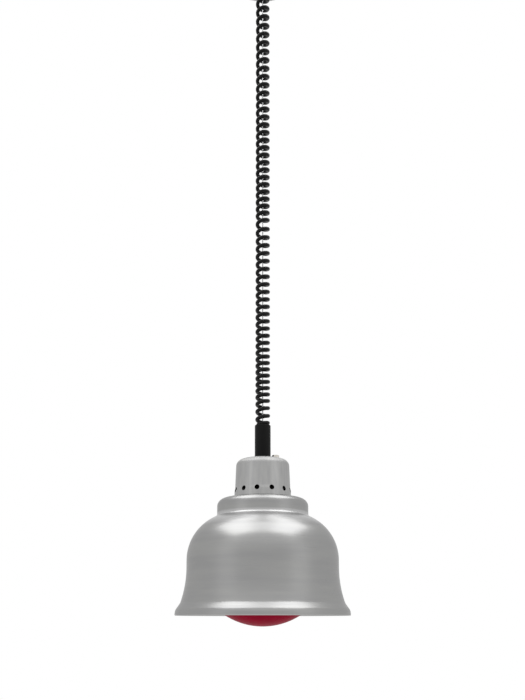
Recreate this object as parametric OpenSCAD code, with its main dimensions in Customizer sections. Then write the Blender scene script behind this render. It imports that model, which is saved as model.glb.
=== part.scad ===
// Rise-and-fall food heat lamp: a spun aluminium bell shade on a curly cord and a steel wire.
// The origin is on the ceiling, at the middle of the mounting plate's two screw holes, and +Z is up.
// The lamp hangs at the height of the photograph. Sizes are millimetres.

/* [Hanging] */
// Height from the shade's rim to the ceiling, at rest
drop = 990; // [900:5:1200]
// Diameter of the steel suspension wire
wire_d = 1.5; // [1:0.1:2]
// Diameter of the black flex
cord_d = 5.2; // [4.8:0.1:5.4]
// Outside diameter of the curly cord
coil_d = 20; // [17.8:0.1:20.2]
// Number of curls
curls = 58; // [50:1:62]

/* [Shade] */
// Outside diameter of the rim's hem
rim_d = 225; // [223:0.5:232]
// Diameter of the upright band round the bell's middle
body_d = 196.5; // [190:0.5:200]
// Diameter of the collar on top of the bell
collar_d = 119; // [110:1:124]
// Wall of the spun sheet
shade_t = 1.2; // [0.8:0.1:1.6]
// Height of the rim's hem
lip_h = 10; // [8:0.5:12]
// Height at which the flare meets the upright band
flare_z = 58; // [54:1:62]
// Radius of the flare's curve
flare_r = 110; // [105:1:125]
// Height of the centre of the shoulder's curve
shoulder_z = 71; // [66:0.5:76]
// Radius of the shoulder's curve
shoulder_r = 61; // [56:1:66]
// Height of the collar above its hollow foot
collar_h = 19.5; // [16:0.5:24]
// Radius of the collar's top edge
collar_edge = 10; // [4:0.5:11]
// Radius of the hollow curve at the collar's foot
collar_cove = 5; // [3:0.5:8]
// Diameter of the air opening round the lampholder
opening_d = 54; // [50:0.5:56]

/* [Vent cap] */
// Diameter of the cap near its top
cap_top_d = 70; // [68:0.5:71]
// Diameter of the cap at its foot
cap_foot_d = 74; // [72:0.5:78]
// Height of the cap
cap_h = 52.5; // [50:0.5:60]
// Wall of the cap
cap_t = 1.2; // [0.8:0.1:1.6]
// Radius of the cap's top edge
cap_edge = 9; // [5:0.5:9]
// Number of air holes
vents = 12; // [8:1:14]
// Diameter of an air hole
vent_d = 6.4; // [5:0.1:7]
// Height of the row of air holes above the collar
vent_z = 11; // [9:0.5:13]
// Turn of the row of air holes from the front, degrees
vent_turn = 18.5; // [0:0.5:29.5]

/* [Cord sleeve] */
// Outside diameter of the sleeve
sleeve_d = 21; // [20.6:0.1:21.4]
// Height of the sleeve
sleeve_h = 46.5; // [42:0.5:55]
// Wall of the sleeve
sleeve_t = 0.6; // [0.4:0.05:0.65]
// Depth of the cord grip's face below the sleeve's top
grip_recess = 9; // [8:0.1:9.2]

/* [Lampholder] */
// Outside diameter of the porcelain body
holder_d = 46; // [43:0.5:47]
// Height of the porcelain body
holder_h = 39; // [38:0.5:41]
// Height of the porcelain cover on top of the body
cover_h = 19.3; // [18.5:0.1:21]
// Bore of the screw shell, over its thread's roots
shell_d = 26.8; // [26.7:0.1:27]
// Diameter of the threaded tube
nipple_d = 10; // [9.5:0.1:10.2]
// Width across the flats of the tube's nuts
nut_flats = 14; // [13.5:0.1:14.4]
// Thickness of the lock nut
nut_h = 4; // [3:0.5:5]
// Thickness of the bracket's strap
bracket_t = 2; // [1.5:0.1:2.5]
// Width of the bracket's strap
bracket_w = 15; // [12:0.5:15.5]
// Turn of the bracket from the right, degrees
bracket_turn = -32.7; // [-45:0.1:-20]
// Distance of the cap's two screws from the lamp's axis
cap_screw_at = 20; // [18:0.1:20.8]
// Width across the flats of the cap's screws
cap_screw_flats = 8; // [7:0.1:8.4]

/* [Bulb] */
// Largest diameter of the reflector bulb
bulb_d = 125; // [110:1:127]
// Length of the bulb with its cap
bulb_l = 179.8; // [176:0.2:184]
// Radius of the bulb's domed face
face_r = 90; // [85:1:110]
// Radius of the edge round the face
face_edge = 14; // [10:0.5:16]
// Wall of the glass
glass_t = 1; // [0.7:0.1:1.4]
// Diameter of the screw cap
cap_thread_d = 26.2; // [25.8:0.1:26.4]

/* [Switch] */
// Distance of the switch from the lamp's axis
switch_at = 17; // [16:0.1:18]
// Swing of the rocker, degrees
rocker_swing = 22; // [16:1:24]

/* [Ceiling canopy] */
// Diameter of the canopy
canopy_d = 130; // [126:1:150]
// Depth of the canopy
canopy_h = 72; // [70:1:90]
// Wall of the canopy
canopy_t = 1.2; // [0.8:0.1:1.6]
// Radius of the canopy's lower edge
canopy_edge = 28; // [20:1:30]
// Distance between the two ceiling screws
screw_gap = 70; // [60:1:90]
// Diameter of the ceiling screw holes
screw_hole_d = 5.2; // [4.2:0.1:6]
// Thickness of the mounting plate
plate_t = 2; // [1.5:0.1:3]

/* [Reel] */
// Radius at which the wire winds on the drum
wind_r = 22; // [20:0.5:23]
// Radius of the drum's flanges
flange_r = 26; // [25:0.5:27]
// Depth of the reel's axle below the ceiling
axle_z = 36; // [34:0.5:37]
// Diameter of the axle
axle_d = 6; // [5:0.1:7]
// Turns of wire on the drum
winds = 5; // [3:1:5]
// Spacing of the turns of wire
wind_pitch = 2; // [1.9:0.1:2.1]

/* [Hidden] */

$fn = 96;
arc_steps = 14;
fit_gap = 0.05;      // radial gap of a running or threaded fit
loose_gap = 0.2;     // radial gap of a clearance hole
rest_gap = 0.3;      // gap beside a piece that must not rub

// Heights above the rim, from the bell up to the sleeve
rim_r = rim_d/2;
body_r = body_d/2;
collar_r = collar_d/2;
opening_r = opening_d/2;
lip_step = 1.4;      // the hem's step outward from the flare
lip_bulge = 0.4;     // the hem's middle, in from its widest
lip_round = 1.2;     // rounding of the hem's lower edge
hem_t = 2.6;         // thickness of the hem at its lower edge
shoulder_x = body_r - shoulder_r;
shoulder_turn = acos((collar_r + collar_cove - shoulder_x)/(shoulder_r + collar_cove));
cove_z = shoulder_z + (shoulder_r + collar_cove)*sin(shoulder_turn);
collar_z = cove_z + collar_h;
cap_z = collar_z + cap_h;
sleeve_floor = 2;
sleeve_r = sleeve_d/2;
sleeve_bore_r = sleeve_r - sleeve_t;
sleeve_z = cap_z + sleeve_h;
grip_z = sleeve_z - grip_recess;

// The stack under the cap's top, down to the bulb
crown_z = cap_z - cap_t;
nipple_r = nipple_d/2;
nipple_bore_r = 3.4;
cover_z = crown_z - bracket_t - nut_h;
cover_boss_h = 6.3;
cover_boss_r = 8;
cover_shoulder_h = 3;
cover_r = holder_d/2 - 3;
body_z = cover_z - cover_h;
holder_r = holder_d/2;
holder_z = body_z - holder_h;
pocket_roof_z = body_z - 9;
shell_r = shell_d/2;
shell_t = 0.4;
thread_depth = 0.9;
thread_pitch = 3.63;
shell_h = 21;
contact_z = pocket_roof_z - 2.5;
nipple_in = 7;       // how far the threaded tube goes into the porcelain
sleeve_nut_h = 3;
grip_foot_z = cap_z + sleeve_floor + sleeve_nut_h;
nipple_top_z = grip_foot_z + 5.5;
bulb_tip_z = contact_z;
bulb_face_z = bulb_tip_z - bulb_l;

// The bulb's outline
bulb_r = bulb_d/2;
face_centre_z = bulb_face_z + face_r;
edge_x = bulb_r - face_edge;
edge_z = face_centre_z - sqrt(pow(face_r - face_edge, 2) - pow(edge_x, 2));
edge_start = -acos(edge_x/(face_r - face_edge));
edge_end = 17;
neck_r = 18;
neck_start_z = bulb_tip_z - 51;
neck_end_z = bulb_tip_z - 36;
cap_mouth_z = bulb_tip_z - 27.5;
cap_thread_r = cap_thread_d/2;
cap_glass_r = cap_thread_r - 1.2;
reflector_x = bulb_r - face_edge + face_edge*cos(edge_end);
reflector_z = edge_z + face_edge*sin(edge_end);
thread_top_z = bulb_tip_z - 5;
stem_r = cap_glass_r - glass_t - fit_gap;
stem_foot_z = neck_start_z - 12;
support_x = 1.2;     // where a support of the filament goes into the stem
support_r = 0.5;
support_in = 3;      // and how far
filament_z = bulb_face_z + 58;
filament_r = 16;
filament_sag = 6;

// The bracket's feet and its screws
leg_x = 24.5;        // inside of a leg
foot_x = 34;         // end of a foot
foot_screw_x = 31;
strap_bend_r = 1.5;  // inside radius of the strap's bends
foot_screw_r = 2;
small_head_r = 3.5;  // head of the bracket's, the frame's and the canopy's screws
small_head_h = 2.2;
cap_screw_r = 2.5;
cap_screw_h = 3.5;
washer_t = 0.5;

// The switch
bezel_l = 15;
bezel_w = 10.4;
bezel_h = 1.6;
bezel_corner = 1.5;
switch_l = 13;
switch_w = 8.4;
switch_depth = 10;
rocker_r = 5.9;      // from the pivot to the rocker's ends
rocker_w = 6.8;
rocker_low = -20;    // angles at the pivot of an end's lower and upper corners
rocker_high = 35;
rocker_dip_r = 12;   // hollow of the rocker's face
rocker_pin_r = 0.9;
rocker_pin_l = 0.6;
pivot_up = 0.2;      // height of the pivot above the cap

// The suspension
wire_r = wire_d/2;
cord_r = cord_d/2;
helix_r = coil_d/2 - cord_r;
bush_flange_h = 2.5;
bush_flange_r = 15;
bush_r = 11.9;
bush_up = 10;
bush_nut_h = 4;
bush_nut_flats = 30;
coil_top_z = -canopy_h - bush_flange_h;
coil_foot_z = grip_z - drop;
ferrule_z = grip_z - 22;
ferrule_h = 8;
ferrule_r = 2.2;
wire_end_gap = 0.15; // between the hanging wire and its first turn on the drum

// The curly cord's pitch, as [curl from the bottom, relative spacing]; it hangs tightest low down,
// and is knocked a little wider where the flex was once kinked
tightness = [[0, 5.6], [1, 10.5], [2, 10.7], [4, 8.8], [6, 8.6], [9, 8.8], [13, 10.1], [18, 10.5], [22, 11.3],
    [26, 11.5], [28.2, 13.7], [28.8, 10.0], [33, 10.9], [38, 11.3], [42, 12.0], [46, 12.8], [58, 14.5]];
rings_per_curl = 8;
cord_sides = 6;
cord_start_a = -136; // angle at which the lowest curl begins, so that the flex drops in at the left
bend_r = 5;          // radius of the turn from a curl into its straight end
end_x = 6.5;         // distance of the straight ends from the lamp's axis
ease_in = 0.6;       // curls over which the coil widens from there
bend_steps = 4;

// The canopy's inside
canopy_r = canopy_d/2;
canopy_top = 0.5;    // gap to the ceiling
ear_x = canopy_r - canopy_t - 0.8;
ear_w = 14;
ear_h = 16;
side_screw_z = 9;
side_screw_r = 1.95;
plate_w = 24;
plate_past = 10;     // how far the plate's wide middle goes past its screw holes
supply_hole_r = 6;
drum_y = wind_r;
steps_per_turn = 24; // of the wire's winding and the spring
core_r = wind_r*cos(180/steps_per_turn) - wire_r - fit_gap;
axle_r = axle_d/2;
web_x = -4.5;        // outer face of the drum's closed side
drum_x = 13.5;       // open side of the drum
flange_t = 2;
pocket_r = core_r - 1.8;
drum_cover_t = 1;
boss_r = 6;
boss_h = 2.5;
cheek_t = 2;
cheek_w = 20;
cheek_in_x = -8.5;   // inner faces of the frame's cheeks
cheek_out_x = 16.5;
frame_x = cheek_in_x - cheek_t;
frame_w = cheek_out_x + cheek_t - frame_x;
axle_past = 2.5;     // the axle's ends beyond the frame
groove_w = 1;
groove_r = axle_r - 0.7;
clip_t = 0.8;
clip_w = 2.5;
clip_mid = 0.8;      // from the frame to the middle of a clip
spring_past = 3;     // from the drum's closed side to the spring
spring_w = 9;
spring_t = 0.5;
spring_turns = 5;
block_l = 34;
block_w = 16;
block_h = 14;
block_y = -36;
block_rim = 3;       // the plate's edge round the block
core_hole_r = 2;
core_hole_z = 7;     // depth of the cores' holes below the plate
clamp_r = 1.75;
clamp_y = [4, 12];   // the two screws of a pole
pole_gap = 10;
lead_r = 1;

// Points along an arc in the XZ plane, from angle a0 to angle a1
function arc(cx, cz, r, a0, a1, n = arc_steps) =
    [for (i = [0:n]) let (a = a0 + (a1 - a0)*i/n) [cx + r*cos(a), cz + r*sin(a)]];
function reversed(list) = [for (i = [len(list) - 1:-1:0]) list[i]];
function unit(v) = v/norm(v);
function clip_starts(w) = [frame_x - clip_mid - w/2, frame_x + frame_w + clip_mid - w/2];
function sum_to(list) =
    [for (i = 0, s = 0; i <= len(list); s = s + (i < len(list) ? list[i] : 0), i = i + 1) s];

// A tube of triangles round the given centres, with one across-vector for each
module tube(centres, across, r, sides) {
    n = len(centres);
    along = [for (i = [0:n - 1]) unit(centres[min(i + 1, n - 1)] - centres[max(i - 1, 0)])];
    side = [for (i = [0:n - 1]) unit(across[i] - (across[i]*along[i])*along[i])];
    points = [for (i = [0:n - 1]) for (k = [0:sides - 1]) let (a = 360*k/sides)
        centres[i] + r*cos(a)*side[i] + r*sin(a)*cross(along[i], side[i])];
    faces = concat(
        [for (i = [0:n - 2]) for (k = [0:sides - 1]) let (m = (k + 1)%sides)
            [i*sides + k, (i + 1)*sides + m, i*sides + m]],
        [for (i = [0:n - 2]) for (k = [0:sides - 1]) let (m = (k + 1)%sides)
            [i*sides + k, (i + 1)*sides + k, (i + 1)*sides + m]],
        [for (k = [1:sides - 2]) [0, k, k + 1]],
        [for (k = [1:sides - 2]) [(n - 1)*sides, (n - 1)*sides + k + 1, (n - 1)*sides + k]]);
    polyhedron(points, faces);
}

// A pan-head screw pointing down, its head's underside at the origin
module pan_screw(shank_r, shank_l, head_r, head_h) {
    dome_r = 1.6*head_r;
    translate([0, 0, -shank_l]) cylinder(r = shank_r, h = shank_l);
    rotate_extrude() intersection() {
        polygon(concat([[0, 0]], arc(0, head_h - dome_r, dome_r, 0, 90, 16)));
        square([head_r, head_h]);
    }
}

module hex_nut(flats, h, hole_r) {
    difference() {
        cylinder(d = flats/cos(30), h = h, $fn = 6);
        translate([0, 0, -1]) cylinder(r = hole_r, h = h + 2);
    }
}

module rounded_plate(l, w, h, corner) {
    translate([-l/2 + corner, -w/2, 0]) cube([l - 2*corner, w, h]);
    translate([-l/2, -w/2 + corner, 0]) cube([l, w - 2*corner, h]);
    for (x = [-1, 1], y = [-1, 1])
        translate([x*(l/2 - corner), y*(w/2 - corner), 0]) cylinder(r = corner, h = h);
}

// What hangs on the wire is drawn from the rim up, and let down to its place
module hung() {
    translate([0, 0, -drop]) children();
}

// Along the X axis
module along_x() {
    rotate([0, 90, 0]) children();
}

module mounting_plate() color("silver") {
    difference() {
        union() {
            translate([-ear_x, -ear_w/2, -plate_t]) cube([2*ear_x, ear_w, plate_t]);
            translate([-screw_gap/2 - plate_past, -plate_w/2, -plate_t])
                cube([screw_gap + 2*plate_past, plate_w, plate_t]);
            translate([frame_x, 0, -plate_t]) cube([frame_w, drum_y + cheek_w/2, plate_t]);
            translate([-block_l/2 - block_rim, block_y - block_rim, -plate_t])
                cube([block_l + 2*block_rim, block_rim - block_y, plate_t]);
            for (x = [-ear_x, ear_x - plate_t])
                translate([x, -ear_w/2, -ear_h]) cube([plate_t, ear_w, ear_h]);
        }
        for (x = [-1, 1])
            translate([x*screw_gap/2, 0, -plate_t - 1]) cylinder(d = screw_hole_d, h = plate_t + 2);
        translate([0, 0, -plate_t - 1]) cylinder(r = supply_hole_r, h = plate_t + 2);
        translate([-ear_x - 1, 0, -side_screw_z]) along_x()
            cylinder(r = side_screw_r + fit_gap, h = 2*ear_x + 2);
        frame_screw_places()
            translate([0, 0, -plate_t - 1]) cylinder(r = foot_screw_r + fit_gap, h = plate_t + 2);
    }
}

function canopy_line(t) = arc(canopy_r - canopy_edge, canopy_edge, canopy_edge - t, -90, 0);

module canopy() color("silver") translate([0, 0, -canopy_h]) difference() {
    rotate_extrude() polygon(concat(
        [[bush_r + loose_gap, 0]], canopy_line(0), [[canopy_r, canopy_h - canopy_top]],
        [[canopy_r - canopy_t, canopy_h - canopy_top]], reversed(canopy_line(canopy_t)),
        [[bush_r + loose_gap, canopy_t]]));
    for (s = [-1, 1]) translate([s*(canopy_r + 2), 0, canopy_h - side_screw_z])
        rotate([0, -s*90, 0]) cylinder(r = side_screw_r + loose_gap, h = 8);
}

module canopy_screws() color("gray") for (s = [-1, 1])
    translate([s*(canopy_r + fit_gap), 0, -side_screw_z]) rotate([0, s*90, 0])
        pan_screw(side_screw_r, canopy_r - ear_x + plate_t + 1, small_head_r, small_head_h);

module frame_screw_places() {
    for (x = [cheek_in_x + 6, cheek_out_x - 6]) translate([x, drum_y, 0]) children();
}

module reel_frame() color("lightgray") difference() {
    union() {
        translate([frame_x, drum_y - cheek_w/2, -plate_t - cheek_t]) cube([frame_w, cheek_w, cheek_t]);
        for (x = [frame_x, cheek_out_x]) {
            translate([x, drum_y - cheek_w/2, -axle_z]) cube([cheek_t, cheek_w, axle_z - plate_t]);
            translate([x, drum_y, -axle_z]) along_x() cylinder(d = cheek_w, h = cheek_t);
        }
    }
    translate([frame_x - 1, drum_y, -axle_z]) along_x() cylinder(r = axle_r + fit_gap, h = frame_w + 2);
    frame_screw_places()
        translate([0, 0, -plate_t - cheek_t - 1]) cylinder(r = foot_screw_r + loose_gap, h = cheek_t + 2);
}

module frame_screws() color("gray") frame_screw_places()
    translate([0, 0, -plate_t - cheek_t]) mirror([0, 0, 1])
        pan_screw(foot_screw_r, plate_t + cheek_t - 0.5, small_head_r, small_head_h);

module reel_axle() color("lightgray") translate([0, drum_y, -axle_z]) difference() {
    translate([frame_x - axle_past, 0, 0]) along_x() cylinder(r = axle_r, h = frame_w + 2*axle_past);
    for (x = clip_starts(groove_w)) translate([x, 0, 0]) along_x() difference() {
        cylinder(r = axle_r + 1, h = groove_w);
        translate([0, 0, -1]) cylinder(r = groove_r, h = groove_w + 2);
    }
}

module axle_clips() color("dimgray") translate([0, drum_y, -axle_z])
    for (x = clip_starts(clip_t)) translate([x, 0, 0]) along_x() difference() {
        cylinder(r = axle_r + clip_w, h = clip_t);
        translate([0, 0, -1]) cylinder(r = groove_r + fit_gap, h = clip_t + 2);
        translate([0.1 - groove_r, 0, -1]) cube([2*groove_r - 0.2, axle_r + clip_w + 1, clip_t + 2]);
    }

module on_drum() {
    translate([0, drum_y, -axle_z]) along_x() children();
}

module reel_drum() color("black") on_drum() difference() {
    union() {
        translate([0, 0, web_x]) cylinder(r = flange_r, h = flange_t);
        translate([0, 0, web_x]) cylinder(r = core_r, h = drum_x - web_x);
        translate([0, 0, drum_x - flange_t]) cylinder(r = flange_r, h = flange_t);
        translate([0, 0, web_x - boss_h]) cylinder(r = boss_r, h = boss_h + flange_t);
    }
    translate([0, 0, web_x + flange_t]) cylinder(r = pocket_r, h = drum_x - web_x);
    translate([0, 0, web_x - boss_h - 1]) cylinder(r = axle_r + fit_gap, h = drum_x - web_x);
}

module drum_cover() color("dimgray") on_drum() translate([0, 0, drum_x]) difference() {
    cylinder(r = core_r + 2, h = drum_cover_t);
    translate([0, 0, -1]) cylinder(r = axle_r + fit_gap, h = drum_cover_t + 2);
}

// A flat spiral of spring steel in the drum's pocket, wound round the axle
module balance_spring() {
    inner = axle_r + rest_gap;
    outer = pocket_r - rest_gap - spring_t;
    steps = steps_per_turn*spring_turns;
    edge = function(out) [for (i = [0:steps])
        let (a = 360*spring_turns*i/steps, r = inner + (outer - inner)*i/steps + out) [r*cos(a), r*sin(a)]];
    color("gray") on_drum() translate([0, 0, web_x + flange_t + spring_past]) linear_extrude(spring_w)
        polygon(concat(edge(0), reversed(edge(spring_t))));
}

// The wire's turns on the drum, from the point where it hangs down at x = 0
module wire_winding() {
    steps = steps_per_turn*winds;
    centres = [for (i = [0:steps]) let (a = 360*winds*i/steps)
        [wind_pitch*winds*i/steps, drum_y - wind_r*cos(a), -axle_z + wind_r*sin(a)]];
    color("gainsboro")
        tube(centres, [for (c = centres) [0, c[1] - drum_y, c[2] + axle_z]], wire_r, cord_sides);
}

module terminal_block() color("ivory") difference() {
    translate([-block_l/2, block_y, -plate_t - block_h]) cube([block_l, block_w, block_h]);
    for (x = [-pole_gap, 0, pole_gap]) {
        translate([x, block_y - 1, -plate_t - core_hole_z]) rotate([-90, 0, 0])
            cylinder(r = core_hole_r, h = block_w + 2);
        for (y = clamp_y) translate([x, block_y + y, -plate_t - block_h - 1])
            cylinder(r = clamp_r + fit_gap, h = block_h - core_hole_z + 1);
    }
}

module terminal_screws() color("gold") for (x = [-pole_gap, 0, pole_gap], y = clamp_y)
    translate([x, block_y + y, -plate_t - block_h + 0.5]) cylinder(r = clamp_r, h = 4);

// The three cores of the flex, from the bush to the terminal block, by hand
lead_bottom_z = -canopy_h + bush_up;
lead_routes = [for (s = [-1, 0, 1]) let (start_y = s == 0 ? -7.5 : -6) [
    [6*s, start_y, lead_bottom_z], [6*s, start_y, lead_bottom_z + 3], [6.5*s, -8, lead_bottom_z + 9],
    [8*s, -11, -44], [9.5*s, -13, -34], [pole_gap*s, -14, -24], [pole_gap*s, -14.2, -16],
    [pole_gap*s, -15.4, -12], [pole_gap*s, -18, -plate_t - core_hole_z - 0.4],
    [pole_gap*s, -21, -plate_t - core_hole_z], [pole_gap*s, -22.5, -plate_t - core_hole_z]]];
lead_colours = ["saddlebrown", "yellowgreen", "steelblue"];

module canopy_leads() for (i = [0:2])
    color(lead_colours[i]) tube(lead_routes[i], [for (p = lead_routes[i]) [1, 0, 0]], lead_r, 8);

module outlet_bush() color("black") difference() {
    union() {
        translate([0, 0, -canopy_h - bush_flange_h]) cylinder(r = bush_flange_r, h = bush_flange_h);
        translate([0, 0, -canopy_h]) cylinder(r = bush_r, h = bush_up);
    }
    translate([0, 0, -canopy_h - bush_flange_h - 1])
        cylinder(r = wire_r + loose_gap, h = bush_up + bush_flange_h + 2);
}

module bush_nut() color("black") translate([0, 0, -canopy_h + canopy_t])
    hex_nut(bush_nut_flats, bush_nut_h, bush_r + fit_gap);

module steel_wire() color("gainsboro") translate([0, 0, ferrule_z - drop])
    cylinder(r = wire_r, h = drop - axle_z - wire_end_gap - ferrule_z);

// A point on the curly cord is an angle, a height and a distance from the axis
function relative_pitch(k) = lookup(k, tightness);
function curl_x(k) = lookup(min(k, curls - k), [[0, end_x], [ease_in, helix_r]]);
function on_curl(p) = [p[2]*cos(p[0]), p[2]*sin(p[0]), p[1]];
module curly_cord() {
    spacing = [for (i = [0:curls*rings_per_curl - 1]) relative_pitch((i + 0.5)/rings_per_curl*58/curls)];
    climb = sum_to(spacing);
    end_h = cord_d + bend_r;
    foot_z = coil_foot_z + end_h;
    head_z = coil_top_z - end_h;
    rise = (head_z - foot_z)/climb[len(spacing)];
    turned = [for (i = [0:len(spacing)])
        [cord_start_a + 360*i/rings_per_curl, foot_z + rise*climb[i], curl_x(i/rings_per_curl)]];
    bend_a = bend_r/end_x*180/PI;
    last_a = cord_start_a + 360*curls;
    foot = concat(
        [for (z = [coil_foot_z, coil_foot_z + cord_d]) [cord_start_a - bend_a, z, end_x]],
        [for (i = [1:bend_steps - 1]) let (b = 90*i/bend_steps)
            [cord_start_a - bend_a*cos(b), foot_z - bend_r*(1 - sin(b)), end_x]]);
    head = concat([for (i = [bend_steps - 1:-1:1]) let (b = 90*i/bend_steps)
            [last_a + bend_a*cos(b), head_z + bend_r*(1 - sin(b)), end_x]],
        [for (z = [coil_top_z - cord_d, coil_top_z]) [last_a + bend_a, z, end_x]]);
    line = concat(foot, turned, head);
    centres = [for (p = line) on_curl(p)];
    apart = min([for (i = [0:len(turned) - 13]) for (j = [5:12])
        norm(on_curl(turned[i]) - on_curl(turned[i + j]))]);
    echo("least gap of the curly cord to itself", apart - cord_d);
    steps = [for (i = [1:len(centres) - 1]) norm(centres[i] - centres[i - 1])];
    echo("length of the flex along its curls", sum_to(steps)[len(steps)]);
    color("black") tube(centres, [for (p = line) [cos(p[0]), sin(p[0]), 0]], cord_r, cord_sides);
}

module wire_ferrule() color("silver") translate([0, 0, ferrule_z - drop]) difference() {
    cylinder(r = ferrule_r, h = ferrule_h);
    translate([0, 0, -1]) cylinder(r = wire_r, h = ferrule_h + 2);
}

module cord_sleeve() color("black") hung() translate([0, 0, cap_z]) difference() {
    cylinder(r = sleeve_r, h = sleeve_h);
    translate([0, 0, sleeve_floor]) cylinder(r = sleeve_bore_r, h = sleeve_h);
    translate([0, 0, -1]) cylinder(r = nipple_r + fit_gap, h = sleeve_h);
}

module sleeve_nut() color("lightgray") hung() translate([0, 0, cap_z + sleeve_floor])
    hex_nut(nut_flats, sleeve_nut_h, nipple_r + fit_gap);

module cord_grip() color("black") hung() difference() {
    translate([0, 0, grip_foot_z]) cylinder(r = sleeve_bore_r - fit_gap, h = grip_z - grip_foot_z);
    translate([0, 0, grip_foot_z - 1]) cylinder(r = nipple_r + fit_gap, h = nipple_top_z - grip_foot_z + 1.5);
    translate([0, 0, grip_foot_z - 1])
        cylinder(r = ferrule_r + rest_gap, h = ferrule_z + ferrule_h - grip_foot_z + 1);
    translate([0, 0, grip_foot_z]) cylinder(r = wire_r + fit_gap, h = sleeve_h);
}

module threaded_nipple() color("lightgray") hung() difference() {
    translate([0, 0, cover_z - nipple_in]) cylinder(r = nipple_r, h = nipple_top_z - cover_z + nipple_in);
    translate([0, 0, cover_z - nipple_in - 1]) cylinder(r = nipple_bore_r, h = nipple_top_z);
}

cap_foot_r = cap_foot_d/2;
cap_top_r = cap_top_d/2;
flare_low_z = 9.5;   // the cap is straight up to here
flare_high_z = 15.5; // and from here it narrows slowly to its top
waist_r = cap_foot_r - 0.9;
function cap_line(t) = concat(
    [[cap_foot_r - t, 0], [cap_foot_r - t, flare_low_z], [waist_r - t, flare_high_z]],
    arc(cap_top_r - cap_edge, cap_h - cap_edge, cap_edge - t, 0, 90, arc_steps),
    [[nipple_r + fit_gap, cap_h - t]]);

// Beside the bracket, with the switch's long side along the strap
module at_switch() {
    rotate([0, 0, bracket_turn]) translate([0, switch_at, cap_z]) children();
}

module cap_screw_places() {
    for (s = [-1, 1]) rotate([0, 0, bracket_turn]) translate([s*cap_screw_at, 0, 0]) children();
}

module foot_screw_places() {
    for (s = [-1, 1]) rotate([0, 0, bracket_turn]) translate([s*foot_screw_x, 0, 0]) children();
}

module vent_cap() color("silver") hung() difference() {
    translate([0, 0, collar_z]) rotate_extrude() polygon(concat(cap_line(0), reversed(cap_line(cap_t))));
    for (i = [0:vents - 1]) rotate([0, 0, -90 + vent_turn + 360*i/vents])
        translate([cap_foot_r/2, 0, collar_z + vent_z]) along_x() cylinder(d = vent_d, h = cap_foot_r);
    at_switch() translate([-switch_l/2 - fit_gap, -switch_w/2 - fit_gap, -5])
        cube([switch_l + 2*fit_gap, switch_w + 2*fit_gap, 10]);
    cap_screw_places() translate([0, 0, cap_z - 5]) cylinder(r = cap_screw_r + loose_gap, h = 10);
}

// Each screw's hexagon has one flat towards the front
module cap_screws() color("silver") hung() cap_screw_places() translate([0, 0, cap_z]) {
    translate([0, 0, -cap_t - bracket_t - 1]) cylinder(r = cap_screw_r, h = cap_t + bracket_t + 2);
    cylinder(r = cap_screw_flats/2 + 0.5, h = washer_t);
    rotate([0, 0, -bracket_turn]) cylinder(d = cap_screw_flats/cos(30), h = washer_t + cap_screw_h, $fn = 6);
}

// Half of the bent strap from the side: over the top, down a leg, out to its foot and back inside
strap_top_x = leg_x - strap_bend_r;
strap_top_z = crown_z - bracket_t - strap_bend_r;
strap_foot_x = leg_x + bracket_t + strap_bend_r;
strap_foot_z = collar_z + bracket_t + strap_bend_r;
strap_half = concat(
    arc(strap_top_x, strap_top_z, strap_bend_r + bracket_t, 90, 0, 4),
    arc(strap_foot_x, strap_foot_z, strap_bend_r, 180, 270, 4),
    [[foot_x, collar_z + bracket_t], [foot_x, collar_z]],
    arc(strap_foot_x, strap_foot_z, strap_bend_r + bracket_t, 270, 180, 4),
    arc(strap_top_x, strap_top_z, strap_bend_r, 0, 90, 4));

module holder_bracket() color("lightgray") hung() difference() {
    rotate([0, 0, bracket_turn]) rotate([90, 0, 0]) translate([0, 0, -bracket_w/2])
        linear_extrude(bracket_w)
            polygon(concat(strap_half, reversed([for (p = strap_half) [-p[0], p[1]]])));
    translate([0, 0, crown_z - bracket_t - 1]) cylinder(r = nipple_r + fit_gap, h = bracket_t + 2);
    foot_screw_places()
        translate([0, 0, collar_z - 1]) cylinder(r = foot_screw_r + fit_gap, h = bracket_t + 2);
    cap_screw_places() translate([0, 0, crown_z - bracket_t - 1])
        cylinder(r = cap_screw_r + fit_gap, h = bracket_t + 2);
}

module lock_nut() color("lightgray") hung() translate([0, 0, cover_z])
    hex_nut(nut_flats, nut_h, nipple_r + fit_gap);

module bracket_screws() color("gray") hung() foot_screw_places()
    translate([0, 0, collar_z - shade_t]) mirror([0, 0, 1])
        pan_screw(foot_screw_r, shade_t + bracket_t + 1.5, small_head_r, small_head_h);

// The shade's outline at a depth t under its outer skin, from the hem's top to the air opening
function shade_line(t) = let (low = asin((flare_z - lip_h)/(flare_r + t))) concat(
    arc(body_r + flare_r, flare_z, flare_r + t, 180 + low, 180, arc_steps),
    arc(shoulder_x, shoulder_z, shoulder_r - t, 0, shoulder_turn, arc_steps),
    arc(collar_r + collar_cove, cove_z, collar_cove + t, 180 + shoulder_turn*5/6, 180, 5),
    arc(collar_r - collar_edge, collar_z - collar_edge, collar_edge - t, 0, 90, 8),
    [[opening_r, collar_z - t]]);

module shade() color("silver") hung() difference() {
    rotate_extrude() polygon(concat(
        shade_line(0), reversed(shade_line(shade_t)),
        [[rim_r - hem_t, 0]], arc(rim_r - lip_round, lip_round, lip_round, -90, 0, 4),
        [[rim_r - lip_bulge, lip_h/2], [shade_line(0)[0][0] + lip_step, lip_h]]));
    foot_screw_places() translate([0, 0, collar_z - 5]) cylinder(r = foot_screw_r + loose_gap, h = 10);
}

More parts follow.
